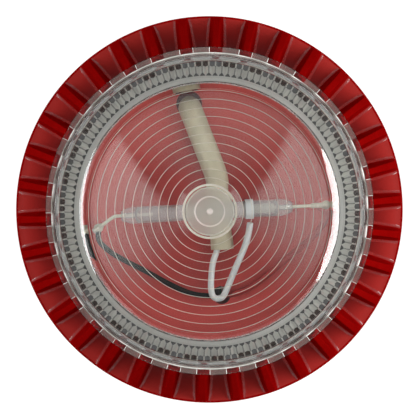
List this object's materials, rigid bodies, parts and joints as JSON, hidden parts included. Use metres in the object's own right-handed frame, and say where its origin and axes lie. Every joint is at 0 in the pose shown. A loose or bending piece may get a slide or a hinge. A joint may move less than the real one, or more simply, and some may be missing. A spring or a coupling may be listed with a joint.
{
  "type": "siren strobe",
  "caption": "Round red fluted siren head on a shallow wall base, topped by a clear ringed lens over a xenon flash tube; the head and the lens twist off on bayonets.",
  "frame": {"origin": "centre of the base's flat wall face", "axes": "+Z out of the wall, towards the lens; +X along the flash tube, towards its cathode"},
  "size_m": [0.093, 0.093, 0.08],
  "materials": {
    "red_moulding": "satin moulded, fine gloss",
    "clear_lens": "clear, polished, prismatic inside",
    "tube_glass": "clear glass",
    "electrode_metal": "bright drawn metal",
    "trigger_metal": "bright tinned",
    "solder": "bright solder",
    "cream_silicone": "matt silicone",
    "black_insulation": "satin insulation",
    "red_insulation": "satin insulation",
    "black_moulding": "matt moulded",
    "seal_rubber": "matt rubber",
    "transducer_brass": "plain rolled",
    "transducer_ceramic": "silvered ceramic",
    "board_green": "solder mask",
    "contact_gold": "plated",
    "screw_steel": "zinc plated",
    "capacitor_can": "sleeved can",
    "ferrite": "sintered",
    "film_yellow": "epoxy dipped",
    "terminal_grey": "moulded",
    "switch_blue": "moulded",
    "lever_white": "moulded"
  },
  "bodies": {
    "base": {"mounting_base": "red_moulding", "wall_gasket": "seal_rubber", "base_seal": "seal_rubber", "terminal_block": "terminal_grey", "terminal_screws": "screw_steel", "contact_springs": "contact_gold"},
    "head": {"sounder_body": "red_moulding", "lens_seal": "seal_rubber", "strobe_deck": "red_moulding", "sound_plate": "black_moulding", "piezo_plate": "transducer_brass", "piezo_ceramic": "transducer_ceramic", "resonator_cap": "black_moulding", "main_board": "board_green", "contact_pads": "contact_gold", "board_screws": "screw_steel", "storage_capacitor": "capacitor_can", "trigger_transformer": "black_moulding", "step_up_transformer": "ferrite", "trigger_capacitor": "film_yellow", "driver_chip": "black_moulding", "tone_switch": "switch_blue", "volume_trimmer": "switch_blue", "flash_tube": "tube_glass", "anode_pin": "electrode_metal", "cathode_pin": "electrode_metal", "solder_joints": "solder", "trigger_band": "trigger_metal", "cathode_lead": "black_insulation", "anode_lead": "red_insulation", "trigger_sleeve": "cream_silicone", "trigger_lead": "trigger_metal"},
    "lens": {"lens": "clear_lens"},
    "tone_lever_1": {"tone_lever_1": "lever_white"},
    "tone_lever_2": {"tone_lever_2": "lever_white"},
    "tone_lever_3": {"tone_lever_3": "lever_white"},
    "tone_lever_4": {"tone_lever_4": "lever_white"},
    "tone_lever_5": {"tone_lever_5": "lever_white"},
    "volume_rotor": {"volume_rotor": "lever_white"}
  },
  "joints": [
    {"name": "head_turn", "type": "hinge", "parent": "base", "child": "head", "pos_m": [0, 0, 0.018], "axis": [0, 0, 1], "range_deg": [0, 14]},
    {"name": "lens_turn", "type": "hinge", "parent": "head", "child": "lens", "pos_m": [0, 0, 0.0625], "axis": [0, 0, 1], "range_deg": [0, 21.18]},
    {"name": "tone_1_slide", "type": "slide", "parent": "head", "child": "tone_lever_1", "axis": [0, 1, 0], "range_m": [0, 0.0014]},
    {"name": "tone_2_slide", "type": "slide", "parent": "head", "child": "tone_lever_2", "axis": [0, 1, 0], "range_m": [0, 0.0014]},
    {"name": "tone_3_slide", "type": "slide", "parent": "head", "child": "tone_lever_3", "axis": [0, 1, 0], "range_m": [0, 0.0014]},
    {"name": "tone_4_slide", "type": "slide", "parent": "head", "child": "tone_lever_4", "axis": [0, 1, 0], "range_m": [0, 0.0014]},
    {"name": "tone_5_slide", "type": "slide", "parent": "head", "child": "tone_lever_5", "axis": [0, 1, 0], "range_m": [0, 0.0014]},
    {"name": "volume_turn", "type": "hinge", "parent": "head", "child": "volume_rotor", "pos_m": [-0.016, 0.004, 0.0212], "axis": [0, 0, 1], "range_deg": [0, 270]}
  ]
}
